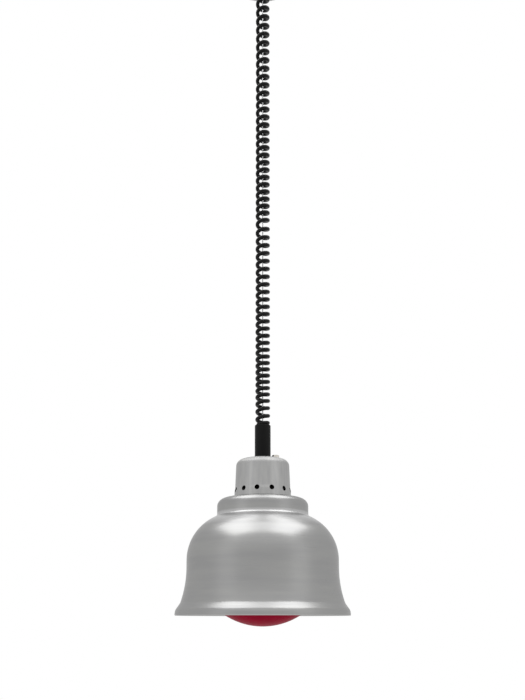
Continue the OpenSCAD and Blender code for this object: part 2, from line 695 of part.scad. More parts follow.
module holder_cover() color("#352620") hung() translate([0, 0, body_z]) difference() {
    rotate_extrude() polygon(concat([[0, 0], [cover_r, 0], [cover_r, cover_shoulder_h]],
        arc(cover_boss_r + 2, cover_shoulder_h, cover_r - cover_boss_r - 2, 0, 90, 10),
        [[cover_boss_r, cover_h - cover_boss_h + 0.5], [cover_boss_r, cover_h], [0, cover_h]]));
    translate([0, 0, cover_h - nipple_in - 0.5]) cylinder(r = nipple_r + fit_gap, h = nipple_in + 2);
    translate([0, 0, -1]) cylinder(r = nipple_bore_r, h = cover_h + 2);
}

module holder_body() color("#352620") hung() translate([0, 0, holder_z]) difference() {
    union() {
        rotate_extrude() polygon(concat([[0, 1.5]], arc(holder_r - 1.5, 1.5, 1.5, -90, 0, 5),
            [[holder_r, holder_h - 1], [holder_r - 1, holder_h], [0, holder_h]]));
        cylinder(r = holder_r - 1.5, h = 2);
    }
    translate([0, 0, -1]) cylinder(r1 = shell_r + shell_t + 3.5, r2 = shell_r + shell_t + fit_gap, h = 5);
    translate([0, 0, -1]) cylinder(r = shell_r + shell_t + fit_gap, h = pocket_roof_z - holder_z + 1);
}

// The rolled thread of a shell or cap, from height z0 to z1, whose crests reach out to r
function thread_line(r, z0, z1) = let (n = round((z1 - z0)/thread_pitch*8)) [for (i = [0:n])
    let (z = z0 + i*(z1 - z0)/n) [r + thread_depth/2*(cos(360*(z - thread_top_z)/thread_pitch) - 1), z]];

module holder_shell() color("goldenrod") hung() rotate_extrude() polygon(concat(
    thread_line(shell_r, pocket_roof_z - shell_h, pocket_roof_z),
    reversed(thread_line(shell_r + shell_t, pocket_roof_z - shell_h, pocket_roof_z))));

module holder_contact() color("goldenrod") hung() translate([-4, 0, 0]) rotate([90, 0, 90]) linear_extrude(8)
    polygon([[-4.5, contact_z], [4, contact_z], [11, pocket_roof_z - 0.6], [12.8, pocket_roof_z - 0.6],
        [12.8, pocket_roof_z], [10.8, pocket_roof_z], [3.8, contact_z + 0.6], [-4.5, contact_z + 0.6]]);

module switch_body() color("black") hung() at_switch() difference() {
    union() {
        rounded_plate(bezel_l, bezel_w, bezel_h, bezel_corner);
        translate([-switch_l/2, -switch_w/2, -switch_depth]) cube([switch_l, switch_w, switch_depth]);
    }
    translate([-rocker_r - loose_gap, -rocker_w/2 - 0.1, -switch_depth/2])
        cube([2*(rocker_r + loose_gap), rocker_w + 0.2, switch_depth]);
    translate([0, (rocker_w + loose_gap)/2 + rocker_pin_l, pivot_up]) rotate([90, 0, 0])
        cylinder(r = rocker_pin_r + fit_gap, h = rocker_w + 2*rocker_pin_l + loose_gap, $fn = 32);
}

module switch_terminals() color("gold") hung() at_switch() for (x = [-3.5, 3.5])
    translate([x - 0.4, -2.4, -switch_depth - 3]) cube([0.8, 4.8, 3]);

// The rocker stands with one end up, and tips by its swing to the other side
dip_a = asin(rocker_r*cos(rocker_high)/rocker_dip_r);
module switch_rocker() color("dimgray") hung() at_switch()
    translate([0, 0, pivot_up]) rotate([0, -rocker_swing/2, 0]) {
    rotate([90, 0, 0]) linear_extrude(rocker_w, center = true) polygon(concat(
        arc(0, 0, rocker_r, rocker_low, rocker_high, 8),
        arc(0, rocker_r*sin(rocker_high) + rocker_dip_r*cos(dip_a), rocker_dip_r, dip_a - 90, -90 - dip_a, 8),
        arc(0, 0, rocker_r, 180 - rocker_high, 180 - rocker_low, 8)));
    translate([0, rocker_w/2 + rocker_pin_l, 0]) rotate([90, 0, 0])
        cylinder(r = rocker_pin_r, h = rocker_w + 2*rocker_pin_l, $fn = 32);
}

// The bulb's outline at a depth t under the outside of its glass
function bulb_line(t) = concat(
    arc(0, face_centre_z, face_r - t, -90, edge_start, 12),
    arc(edge_x, edge_z, face_edge - t, edge_start, edge_end, 8),
    [for (i = [1:12]) let (z = reflector_z + (neck_start_z - reflector_z)*i/12)
        [neck_r - t + (reflector_x - neck_r)*pow(cos(90*i/12), 0.9)*pow(1 - i/12, 0.15), z]],
    [[neck_r - t, neck_end_z], [cap_glass_r - t, cap_mouth_z], [cap_glass_r - t, cap_mouth_z + 3]]);

module bulb_glass() color("firebrick") hung() rotate_extrude()
    polygon(concat(bulb_line(0), reversed(bulb_line(glass_t))));

// Glass rod that closes the neck, with a hole for each of the filament's supports
module bulb_stem() color("lightcyan") hung() difference() {
    rotate_extrude() polygon([[0, stem_foot_z], [1.9, stem_foot_z], [2.3, stem_foot_z + 1],
        [2.6, neck_start_z], [4, neck_end_z - 6], [9, cap_mouth_z - 1], [stem_r, cap_mouth_z + 1],
        [stem_r, cap_mouth_z + 3], [0, cap_mouth_z + 3]]);
    for (s = [-1, 1]) translate([s*support_x, 0, stem_foot_z - 1])
        cylinder(r = support_r + fit_gap, h = support_in + 1);
}

// Two supports from the stem and the filament that hangs between them
module bulb_filament() color("gray") hung() {
    for (s = [-1, 1]) {
        tube([[s*support_x, 0, stem_foot_z + support_in - fit_gap], [s*support_x, 0, stem_foot_z - 2],
            [s*3, 0, stem_foot_z - 6], [s*filament_r*0.7, 0, filament_z + 14],
            [s*filament_r, 0, filament_z + 2], [s*filament_r, 0, filament_z]],
            [for (i = [0:5]) [0, 1, 0]], support_r, cord_sides);
    }
    tube([for (i = [-8:8]) [filament_r*i/8, 0, filament_z - filament_sag*cos(90*i/8)]],
        [for (i = [-8:8]) [0, 1, 0]], 0.9, 8);
}

module bulb_cap() color("gainsboro") hung() rotate_extrude() polygon(concat(
    thread_line(cap_thread_r, cap_mouth_z, thread_top_z - 1),
    [[cap_thread_r - 2.5, thread_top_z], [cap_thread_r - 3, thread_top_z],
    [cap_thread_r - 3, thread_top_z - 1.2], [cap_glass_r + fit_gap, thread_top_z - 2.5],
    [cap_glass_r + fit_gap, cap_mouth_z]]));

module bulb_insulator() color("black") hung() translate([0, 0, thread_top_z - 1]) rotate_extrude()
    polygon([[0, 0], [cap_thread_r - 3.05, 0], [cap_thread_r - 3.05, 1.2], [5, 3.4], [0, 3.4]]);

module bulb_contact() color("silver") hung() translate([0, 0, thread_top_z + 2.4]) rotate_extrude()
    polygon(concat([[0, 0], [4.6, 0], [4.6, 1]], arc(2.6, 0.6, 2, 12, 90, 6),
        [[0, bulb_tip_z - thread_top_z - 2.4]]));

mounting_plate();
canopy();
canopy_screws();
reel_frame();
frame_screws();
reel_axle();
axle_clips();
reel_drum();
drum_cover();
balance_spring();
wire_winding();
terminal_block();
terminal_screws();
canopy_leads();
outlet_bush();
bush_nut();
steel_wire();
curly_cord();
wire_ferrule();
cord_sleeve();
cord_grip();
sleeve_nut();
threaded_nipple();
vent_cap();
cap_screws();
holder_bracket();
lock_nut();
bracket_screws();
shade();
holder_cover();
holder_body();
holder_shell();
holder_contact();
switch_body();
switch_terminals();
switch_rocker();
bulb_glass();
bulb_stem();
bulb_filament();
bulb_cap();
bulb_insulator();
bulb_contact();
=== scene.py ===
"""The looks of a rise-and-fall food heat lamp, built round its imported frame.

The camera and the cords come first, then the spun and blown pieces, then the finishes and the studio.
Sizes are millimetres, and an outline is a list of pairs: a radius and a height above the shade's rim.
Blender works in metres, and counts heights from the ceiling."""

import math

import bpy
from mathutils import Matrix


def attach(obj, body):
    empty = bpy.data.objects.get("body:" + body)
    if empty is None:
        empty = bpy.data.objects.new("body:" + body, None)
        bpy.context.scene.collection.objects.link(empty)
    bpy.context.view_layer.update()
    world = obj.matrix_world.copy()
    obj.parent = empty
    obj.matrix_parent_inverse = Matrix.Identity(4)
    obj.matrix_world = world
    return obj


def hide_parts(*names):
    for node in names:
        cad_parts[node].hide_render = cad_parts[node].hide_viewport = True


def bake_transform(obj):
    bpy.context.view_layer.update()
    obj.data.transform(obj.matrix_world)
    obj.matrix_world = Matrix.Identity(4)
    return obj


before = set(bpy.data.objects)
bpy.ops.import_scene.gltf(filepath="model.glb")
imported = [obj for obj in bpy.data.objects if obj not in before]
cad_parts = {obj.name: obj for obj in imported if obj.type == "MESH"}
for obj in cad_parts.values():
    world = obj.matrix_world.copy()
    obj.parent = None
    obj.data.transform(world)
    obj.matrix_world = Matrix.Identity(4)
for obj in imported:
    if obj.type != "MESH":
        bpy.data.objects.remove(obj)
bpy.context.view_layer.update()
bpy.ops.object.select_all(action="DESELECT")

MM = 0.001
DROP = 990.0


# Camera: a little lower than the rim, tipped up, 1.08 m in front of the lamp

CAMERA_PLACE = (0, -1.08, -0.996)
CAMERA_TIP = 99.188
LENS = 42.839
SENSOR = 36
SHIFT_X = -0.0003
SHIFT_Y = 0.1939

bpy.ops.object.camera_add(location=CAMERA_PLACE, rotation=(math.radians(CAMERA_TIP), 0, 0))
camera = bpy.context.object
camera.name = "Camera"
camera.data.lens = LENS
camera.data.sensor_width = SENSOR
camera.data.shift_x = SHIFT_X
camera.data.shift_y = SHIFT_Y
camera.data.clip_start = 0.01
bpy.context.scene.camera = camera


# Cords. Heights of cords are from the ceiling, as in the frame

CORD_D = 5.2
HELIX_R = 7.4
END_X = 6.5
EASE_IN = 0.6
CURLS = 58
START_ANGLE = -136
BEND_R = 5.0
COIL_FOOT = -749.388
COIL_HEAD = -74.5
WIRE_D = 1.5
WIRE_FOOT = -771.388
WIRE_HEAD = -36.15
WIRE_STRANDS = 6
STRAND_GROOVE = 0.1
WIRE_LAY = 11.0
STEPS_PER_LAY = 12
AXLE_Z = -36.0
DRUM_Y = 22.0
WIND_R = 22.0
WINDS = 5
WIND_PITCH = 2.0
STEPS_PER_WIND = 72
CORE_D = 2

# How far apart the curls hang, as (curl from the bottom, relative spacing)
TIGHTNESS = [(0, 5.6), (1, 10.5), (2, 10.7), (4, 8.8), (6, 8.6), (9, 8.8), (13, 10.1), (18, 10.5),
             (22, 11.3), (26, 11.5), (28.2, 13.7), (28.8, 10.0), (33, 10.9), (38, 11.3), (42, 12.0),
             (46, 12.8), (58, 14.5)]


def relative_pitch(curl):
    for (low, low_value), (high, high_value) in zip(TIGHTNESS, TIGHTNESS[1:]):
        if curl <= high:
            return low_value + (high_value - low_value) * (curl - low) / (high - low)
    return TIGHTNESS[-1][1]


def on_curl(angle, height, radius=END_X):
    angle = math.radians(angle)
    return (radius * math.cos(angle) * MM, radius * math.sin(angle) * MM, height * MM)


def curly_route(rings_per_curl=20, bend_steps=8):
    """The flex's centreline, from its straight end in the cord grip up to its end in the ceiling bush."""
    steps = CURLS * rings_per_curl
    climb = [0.0]
    for i in range(steps):
        climb.append(climb[-1] + relative_pitch((i + 0.5) / rings_per_curl))
    foot = COIL_FOOT + CORD_D + BEND_R
    head = COIL_HEAD - CORD_D - BEND_R
    bend_angle = math.degrees(BEND_R / END_X)
    last_angle = START_ANGLE + 360 * CURLS
    route = [on_curl(START_ANGLE - bend_angle, COIL_FOOT + CORD_D * i / 3) for i in range(4)]
    for i in range(1, bend_steps):
        turn = math.radians(90 * i / bend_steps)
        route.append(on_curl(START_ANGLE - bend_angle * math.cos(turn), foot - BEND_R * (1 - math.sin(turn))))
    for i in range(steps + 1):
        widened = min(1, min(i, steps - i) / rings_per_curl / EASE_IN)
        height = foot + (head - foot) * climb[i] / climb[-1]
        radius = END_X + (HELIX_R - END_X) * widened
        route.append(on_curl(START_ANGLE + 360 * i / rings_per_curl, height, radius))
    for i in range(bend_steps - 1, 0, -1):
        turn = math.radians(90 * i / bend_steps)
        route.append(on_curl(last_angle + bend_angle * math.cos(turn), head + BEND_R * (1 - math.sin(turn))))
    route += [on_curl(last_angle + bend_angle, COIL_HEAD - CORD_D * i / 3) for i in range(3, -1, -1)]
    return route


def strand_profile(sides=24):
    """Section of a wire of strands round a core, as a closed curve that a cord's curve is drawn with."""
    section = bpy.data.curves.new("wire_section", "CURVE")
    spline = section.splines.new("POLY")
    spline.points.add(sides - 1)
    for i, point in enumerate(spline.points):
        angle = 2 * math.pi * i / sides
        share = 1 - STRAND_GROOVE + STRAND_GROOVE * math.cos(WIRE_STRANDS * angle)
        radius = WIRE_D / 2 * MM * share
        point.co = (radius * math.cos(angle), radius * math.sin(angle), 0, 1)
    spline.use_cyclic_u = True
    profile = bpy.data.objects.new("wire_section", section)
    bpy.context.collection.objects.link(profile)
    return profile


def draw_cord(name, route, diameter=0.0, sides=14, profile=None, lay=0.0):
    """A tube along a route, drawn as a curve and made a mesh. A profile gives strands that turn by lay."""
    curve = bpy.data.curves.new(name, "CURVE")
    curve.dimensions = "3D"
    curve.twist_mode = "MINIMUM"
    curve.use_fill_caps = True
    spline = curve.splines.new("POLY")
    spline.points.add(len(route) - 1)
    run = 0.0
    for i, (point, place) in enumerate(zip(spline.points, route)):
        run += math.dist(route[i - 1], place) if i else 0.0
        point.co = (*place, 1)
        point.tilt = 2 * math.pi * run / lay if lay else 0.0
    if profile:
        curve.bevel_mode = "OBJECT"
        curve.bevel_object = profile
    else:
        curve.bevel_depth = diameter / 2
        curve.bevel_resolution = sides // 2 - 2
    cord = bpy.data.objects.new(name, curve)
    bpy.context.collection.objects.link(cord)
    bpy.ops.object.select_all(action="DESELECT")
    bpy.context.view_layer.objects.active = cord
    cord.select_set(True)
    bpy.ops.object.convert(target="MESH")
    bpy.ops.object.mode_set(mode="EDIT")
    bpy.ops.mesh.select_all(action="SELECT")
    bpy.ops.mesh.remove_doubles(threshold=1e-7)
    bpy.ops.mesh.normals_make_consistent(inside=False)
    bpy.ops.object.mode_set(mode="OBJECT")
    bpy.ops.object.shade_smooth_by_angle(angle=math.radians(50))
    return bpy.context.object


flex_route = curly_route()
flex = draw_cord("curly_flex", flex_route, diameter=CORD_D * MM)
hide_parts("curly_cord")
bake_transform(flex)

section = strand_profile()
wire_steps = round((WIRE_HEAD - WIRE_FOOT) / WIRE_LAY * STEPS_PER_LAY)
wire_route = []
for i in range(wire_steps + 1):
    wire_route.append((0, 0, (WIRE_FOOT + (WIRE_HEAD - WIRE_FOOT) * i / wire_steps) * MM))
wire = draw_cord("suspension_wire", wire_route, profile=section, lay=WIRE_LAY * MM)
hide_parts("steel_wire")
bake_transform(wire)

turns_route = []
for i in range(WINDS * STEPS_PER_WIND + 1):
    turn = math.radians(360 * i / STEPS_PER_WIND)
    turns_route.append((WIND_PITCH * i / STEPS_PER_WIND * MM, (DRUM_Y - WIND_R * math.cos(turn)) * MM,
                        (AXLE_Z + WIND_R * math.sin(turn)) * MM))
turns = draw_cord("wire_turns", turns_route, profile=section, lay=WIRE_LAY * MM)
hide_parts("wire_winding")
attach(turns, "reel")
bpy.data.objects.remove(section)


def smoothed(points, per_span):
    """A smooth line through the points, with the same number of steps in each span."""
    line = []
    ends = [points[0], *points, points[-1]]
    for before, start, end, after in zip(ends, ends[1:], ends[2:], ends[3:]):
        for k in range(per_span):
            t = k / per_span
            line.append([0.5 * (2 * b + (c - a) * t + (2 * a - 5 * b + 4 * c - d) * t * t
                                + (3 * b - a - 3 * c + d) * t ** 3)
                         for a, b, c, d in zip(before, start, end, after)])
    line.append(list(points[-1]))
    return line


# The three cores, from the bush to the terminal block: the brown and the blue run beside the striped earth
LEAD_FOOT = -62.0
leads = []
for side, colour in ((-1, "brown"), (0, "earth"), (1, "blue")):
    start_y = -6 if side else -7.5
    stops = [(6 * side, start_y, LEAD_FOOT), (6 * side, start_y, LEAD_FOOT + 3),
             (6.5 * side, -8, LEAD_FOOT + 9), (8 * side, -11, -44), (9.5 * side, -13, -34),
             (10 * side, -14, -24), (10 * side, -14.2, -16), (10 * side, -15.4, -12),
             (10 * side, -18, -9.4), (10 * side, -21, -9), (10 * side, -22.5, -9)]
    lead_route = [[value * MM for value in point] for point in smoothed(stops, 3)]
    lead = draw_cord("core_" + colour, lead_route, diameter=CORE_D * MM, sides=12)
    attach(lead, "root")
    leads.append(lead)
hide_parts("canopy_leads")


# Spun and blown pieces: an outline drawn point by point, then spun round the lamp's axis

SHEET = 1.2
CUTTER_H = 8.0
BRACKET_TURN = -32.7


def arc(centre_r, centre_z, radius, start, end, steps):
    """Points along an arc, between two angles in degrees."""
    points = []
    for i in range(steps + 1):
        angle = math.radians(start + (end - start) * i / steps)
        points.append((centre_r + radius * math.cos(angle), centre_z + radius * math.sin(angle)))
    return points


def lathe(name, outline, closed=True, steps=192, zero=-DROP):
    """Spins an outline of (radius, height) round the axis. A closed one is a wall that stays off the axis."""
    points = [(radius * MM, (height + zero) * MM) for radius, height in outline]
    if closed:
        points.append(points[0])
    bpy.ops.object.select_all(action="DESELECT")
    bpy.ops.mesh.primitive_plane_add(size=0.001)
    piece = bpy.context.object
    piece.name = piece.data.name = name
    bpy.ops.object.mode_set(mode="EDIT")
    bpy.ops.mesh.merge(type="CENTER")
    bpy.ops.transform.translate(value=(points[0][0], 0, points[0][1]))
    for (from_r, from_z), (to_r, to_z) in zip(points, points[1:]):
        step = (to_r - from_r, 0, to_z - from_z)
        bpy.ops.mesh.extrude_vertices_move(TRANSFORM_OT_translate={"value": step})
    bpy.ops.mesh.select_all(action="SELECT")
    bpy.ops.mesh.remove_doubles(threshold=1e-6)
    bpy.ops.mesh.spin(steps=steps, angle=2 * math.pi, center=(0, 0, 0), axis=(0, 0, 1))
    bpy.ops.mesh.select_all(action="SELECT")
    bpy.ops.mesh.remove_doubles(threshold=1e-6)
    bpy.ops.mesh.normals_make_consistent(inside=False)
    bpy.ops.object.mode_set(mode="OBJECT")
    return piece


def drill(piece, cutters):
    """Takes the cutters out of a piece, and deletes them."""
    for cutter in cutters:
        hole = piece.modifiers.new("hole", "BOOLEAN")
        hole.operation = "DIFFERENCE"
        hole.solver = "EXACT"
        hole.object = cutter
        bpy.ops.object.select_all(action="DESELECT")
        bpy.context.view_layer.objects.active = piece
        piece.select_set(True)
        bpy.ops.object.modifier_apply(modifier="hole")
        bpy.data.objects.remove(cutter)


def round_cutter(diameter, place, along=(0, 0, 0)):
    """A cylinder in millimetres, standing up unless it is turned."""
    bpy.ops.mesh.primitive_cylinder_add(vertices=32, radius=diameter / 2 * MM, depth=CUTTER_H * MM,
                                        location=[value * MM for value in place], rotation=along)
    return bpy.context.object


def smooth(piece, degrees=32):
    bpy.ops.object.select_all(action="DESELECT")
    bpy.context.view_layer.objects.active = piece
    piece.select_set(True)
    bpy.ops.object.shade_smooth_by_angle(angle=math.radians(degrees))


def across_bracket(distance, up):
    """The two places at a distance from the axis along the holder bracket, at a height above the rim."""
    turn = math.radians(BRACKET_TURN)
    return [(side * distance * math.cos(turn), side * distance * math.sin(turn), up - DROP)
            for side in (-1, 1)]


# The shade, a spun bell: a hem, a flare, an upright band, a shoulder, a cove and a collar

BODY_R = 98.25
RIM_R = 112.5
HEM_ROUND = 1.2
FLARE_R = 136
FLARE_Z = 60
FLARE_FOOT = 16.2
SHOULDER_R = 61.0
SHOULDER_Z = 71.0
COLLAR_R = 59.5
COLLAR_H = 19.5
COLLAR_EDGE = 10.0
COLLAR_COVE = 5.0
OPENING_R = 27
BRACKET_SCREW_AT = 31
BRACKET_SCREW_HOLE = 4.4

# Where the shoulder's curve is centred, and where it meets the cove at the collar's foot
SHOULDER_X = BODY_R - SHOULDER_R
COVE_SHARE = (COLLAR_R + COLLAR_COVE - SHOULDER_X) / (SHOULDER_R + COLLAR_COVE)
SHOULDER_TURN = math.degrees(math.acos(COVE_SHARE))
COVE_Z = SHOULDER_Z + (SHOULDER_R + COLLAR_COVE) * math.sin(math.radians(SHOULDER_TURN))
COLLAR_Z = COVE_Z + COLLAR_H

# The steep foot of the flare: a radius, a height, and how far the wall's inside lies in and down from it,
# for each millimetre of wall
STEEP_FOOT = [(110.35, 9.1, 0.8, 0.6), (106.9, 13.9, 0.8, 0.6), (106.1, 15.2, 0.85, 0.5)]

# The hem's outside above its rounded edge: how far it lies inside the rim, and a height
HEM = [(0.1, 3), (0.3, 4.8), (0.75, 6.4), (1.4, 7.8), (1.8, 8.6)]


def shade_line(depth):
    """The shade's skin at a depth under its outside, from the hem's top in to the air opening."""
    low = math.degrees(math.asin((FLARE_Z - FLARE_FOOT) / (FLARE_R + depth)))
    foot = [(radius - inwards * depth, height - down * depth)
            for radius, height, inwards, down in STEEP_FOOT]
    return (foot
            + arc(BODY_R + FLARE_R, FLARE_Z, FLARE_R + depth, 180 + low, 180, 24)
            + arc(SHOULDER_X, SHOULDER_Z, SHOULDER_R - depth, 0, SHOULDER_TURN, 44)
            + arc(COLLAR_R + COLLAR_COVE, COVE_Z, COLLAR_COVE + depth, 180 + SHOULDER_TURN, 180, 12)[1:]
            + arc(COLLAR_R - COLLAR_EDGE, COLLAR_Z - COLLAR_EDGE, COLLAR_EDGE - depth, 0, 90, 16)
            + [(OPENING_R, COLLAR_Z - depth)])


hem_inside = [(RIM_R - 2.6, 0.6), (RIM_R - 2.2, 0)]
hem_outside = (arc(RIM_R - HEM_ROUND, HEM_ROUND, HEM_ROUND, -90, 0, 8)
               + [(RIM_R - inset, height) for inset, height in HEM])
shade = lathe("spun_shade", shade_line(0) + shade_line(SHEET)[::-1] + hem_inside + hem_outside)
screw_places = across_bracket(BRACKET_SCREW_AT, COLLAR_Z)
drill(shade, [round_cutter(BRACKET_SCREW_HOLE, place) for place in screw_places])
smooth(shade)
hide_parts("shade")
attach(shade, "head")


# The vent cap, a drawn cup: straight at its foot, eased in over the air holes, then narrowing slowly.
# Its outline's heights count from the collar

CAP_FOOT_R = 37
CAP_STRAIGHT_Z = 8.5
CAP_EASE_Z = 9.2
CAP_WAIST_R = 36.1
CAP_WAIST_Z = 15.5
CAP_TOP_R = 35
CAP_H = 52.5
CAP_EDGE = 9.0
CAP_Z = COLLAR_Z + CAP_H
CAP_SCREW_AT = 20
CAP_SCREW_HOLE = 5.4
NIPPLE_HOLE_R = 5.05
VENTS = 12
VENT_D = 6.4
VENT_AT = 36.5
VENT_Z = 11
VENT_TURN = 18.5
SWITCH_AT = 17
SWITCH_SLOT_L = 13.1
SWITCH_SLOT_W = 8.5


def cap_line(depth):
    """The vent cap's skin, from its foot up to the hole for the threaded tube."""
    eased = []
    for i in range(7):
        share = 0.5 + 0.5 * math.cos(math.pi * i / 6)
        eased.append((CAP_WAIST_R + (CAP_FOOT_R - CAP_WAIST_R) * share - depth, CAP_EASE_Z + i))
    rise = CAP_H - CAP_EDGE - CAP_WAIST_Z
    side = []
    for i in range(1, 8):
        side.append((CAP_WAIST_R - (CAP_WAIST_R - CAP_TOP_R) * i / 8 - depth, CAP_WAIST_Z + rise * i / 8))
    return ([(CAP_FOOT_R - depth, height) for height in (0, 4, CAP_STRAIGHT_Z)] + eased + side
            + arc(CAP_TOP_R - CAP_EDGE, CAP_H - CAP_EDGE, CAP_EDGE - depth, 0, 90, 16)
            + [(NIPPLE_HOLE_R, CAP_H - depth)])


cap = lathe("drawn_vent_cap", cap_line(0) + cap_line(SHEET)[::-1], zero=COLLAR_Z - DROP)
vents = []
for i in range(VENTS):
    turn = math.radians(-90 + VENT_TURN + 360 / VENTS * i)
    place = (VENT_AT * math.cos(turn), VENT_AT * math.sin(turn), COLLAR_Z + VENT_Z - DROP)
    vents.append(round_cutter(VENT_D, place, along=(0, math.pi / 2, turn)))
screw_holes = [round_cutter(CAP_SCREW_HOLE, place) for place in across_bracket(CAP_SCREW_AT, CAP_Z)]
turn = math.radians(BRACKET_TURN)
bpy.ops.mesh.primitive_cube_add(size=1, location=(-SWITCH_AT * math.sin(turn) * MM,
                                                  SWITCH_AT * math.cos(turn) * MM, (CAP_Z - DROP) * MM),
                                rotation=(0, 0, turn),
                                scale=(SWITCH_SLOT_L * MM, SWITCH_SLOT_W * MM, CUTTER_H * MM))
drill(cap, vents + screw_holes + [bpy.context.object])
smooth(cap)
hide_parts("vent_cap")
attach(cap, "head")


# The canopy, a spun cup against the ceiling. Its outline's heights count from its own foot

CANOPY_R = 65
CANOPY_H = 72
CANOPY_EDGE = 28
CANOPY_GAP = 0.5
OUTLET_R = 12.1
CANOPY_SCREW_HOLE = 4.3
CANOPY_SCREW_Z = -9


def canopy_line(depth):
    """The canopy's skin, from the outlet's hole up to its edge under the ceiling."""
    return ([(OUTLET_R, depth)] + arc(CANOPY_R - CANOPY_EDGE, CANOPY_EDGE, CANOPY_EDGE - depth, -90, 0, 24)
            + [(CANOPY_R - depth, CANOPY_H - CANOPY_GAP)])


canopy = lathe("spun_canopy", canopy_line(0) + canopy_line(SHEET)[::-1], zero=-CANOPY_H)
screw_places = [(side * CANOPY_R, 0, CANOPY_SCREW_Z) for side in (-1, 1)]
drill(canopy, [round_cutter(CANOPY_SCREW_HOLE, place, along=(0, math.pi / 2, 0)) for place in screw_places])
smooth(canopy)
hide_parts("canopy")
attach(canopy, "root")


# The sleeve is a cup with a hole in its floor, and its mouth is dressed inwards over the flex

SLEEVE_R = 10.5
SLEEVE_BORE_R = 9.9
SLEEVE_FLOOR = 2
SLEEVE_H = 46.5
SLEEVE_Z = CAP_Z + SLEEVE_H

floor_z = CAP_Z + SLEEVE_FLOOR
sleeve_line = [(SLEEVE_BORE_R, SLEEVE_Z - 0.3), (SLEEVE_BORE_R, floor_z + 0.2),
               (SLEEVE_BORE_R - 0.2, floor_z), (NIPPLE_HOLE_R, floor_z), (NIPPLE_HOLE_R, CAP_Z),
               (SLEEVE_R - 0.35, CAP_Z),
               (SLEEVE_R, CAP_Z + 0.4), (SLEEVE_R, SLEEVE_Z - 0.95), (SLEEVE_R - 0.08, SLEEVE_Z - 0.35),
               (SLEEVE_R - 0.3, SLEEVE_Z), (SLEEVE_BORE_R + 0.05, SLEEVE_Z)]
sleeve = lathe("cord_sleeve_tube", sleeve_line, steps=64)
smooth(sleeve, 40)
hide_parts("cord_sleeve")
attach(sleeve, "head")


# The bulb hangs with its contact's tip at TIP_Z, and the heights of its neck and mouth count down from there

BULB_DEPTH = 38.0
BULB_L = 178.8
FACE_R = 90
FACE_EDGE = 14
BULB_R = 62.5
EDGE_X = BULB_R - FACE_EDGE
EDGE_END = 17
NECK_R = 18
NECK_LOW = 51
NECK_HIGH = 36
MOUTH_R = 11.9
MOUTH_LOW = 27.5
MOUTH_HIGH = 24.5
GLASS = 1
WAIST_STEPS = 40
TIP_Z = CAP_Z - BULB_DEPTH
FACE_Z = TIP_Z - BULB_L + FACE_R
EDGE_Z = FACE_Z - math.sqrt((FACE_R - FACE_EDGE) ** 2 - EDGE_X ** 2)
EDGE_START = -math.degrees(math.acos(EDGE_X / (FACE_R - FACE_EDGE)))


def bulb_line(depth):
    """The bulb's glass, from the middle of its face up to its mouth in the screw cap."""
    start_r = EDGE_X + FACE_EDGE * math.cos(math.radians(EDGE_END))
    start_z = EDGE_Z + FACE_EDGE * math.sin(math.radians(EDGE_END))
    waist = []
    for i in range(1, WAIST_STEPS + 1):
        share = i / WAIST_STEPS
        drawn_in = math.cos(math.pi / 2 * share) ** 0.9 * (1 - share) ** 0.15
        waist.append((NECK_R - depth + (start_r - NECK_R) * drawn_in,
                      start_z + (TIP_Z - NECK_LOW - start_z) * share))
    return (arc(0, FACE_Z, FACE_R - depth, -90, EDGE_START, 30)
            + arc(EDGE_X, EDGE_Z, FACE_EDGE - depth, EDGE_START, EDGE_END, 14)[1:] + waist
            + [(NECK_R - depth, TIP_Z - NECK_HIGH), (MOUTH_R - depth, TIP_Z - MOUTH_LOW),
               (MOUTH_R - depth, TIP_Z - MOUTH_HIGH)])


bulb = lathe("reflector_glass", bulb_line(0) + bulb_line(GLASS)[::-1], closed=False, steps=128)
smooth(bulb, 45)
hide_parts("bulb_glass")
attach(bulb, "head")


# Finishes. A pattern's Scale counts cells to the metre, and is worked out from one cell's real size.
# A pixel of the render is about 1.3 mm, so what is finer is drawn coarser, and the finish says so


def srgb(colour):
    """A colour written as an sRGB hex value, as Blender's linear values."""
    values = []
    for i in (1, 3, 5):
        share = int(colour[i:i + 2], 16) / 255
        values.append(share / 12.92 if share <= 0.04045 else ((share + 0.055) / 1.055) ** 2.4)
    return (*values, 1.0)


def cells(size):
    """How many cells of a size in millimetres go into a metre."""
    return 1 / (size * MM)


def from_rim(height):
    """A height above the rim, as Blender's height in metres."""
    return (height - DROP) * MM


def add(tree, kind, sockets=None, **settings):
    """Adds a node with its settings. Each socket takes a value, or a link from another node's output."""
    made = tree.nodes.new("ShaderNode" + kind)
    for key, value in settings.items():
        setattr(made, key, value)
    for key, value in (sockets or {}).items():
        if isinstance(value, bpy.types.NodeSocket):
            tree.links.new(value, made.inputs[key])
        else:
            made.inputs[key].default_value = value
    return made


def material(name, sockets):
    """A material with its even values, its tree, its surface shader and the piece's own coordinates."""
    made = bpy.data.materials.new(name)
    made.use_nodes = True
    tree = made.node_tree
    shader = tree.nodes["Principled BSDF"]
    for key, value in sockets.items():
        shader.inputs[key].default_value = value
    place = add(tree, "TexCoord").outputs["Object"]
    return made, tree, shader, place


def mottle(tree, shader, pattern, dark, light, rough=None, spread=(0.35, 0.65)):
    """Runs a finish from one colour to another with a pattern, and from one roughness to another."""
    share = add(tree, "MapRange", {"Value": pattern, "From Min": spread[0], "From Max": spread[1]})
    colour = add(tree, "Mix", {0: share.outputs["Result"], 6: srgb(dark), 7: srgb(light)}, data_type="RGBA")
    tree.links.new(colour.outputs[2], shader.inputs["Base Color"])
    if rough:
        worn = add(tree, "MapRange", {"Value": pattern, "To Min": rough[0], "To Max": rough[1]})
        tree.links.new(worn.outputs["Result"], shader.inputs["Roughness"])


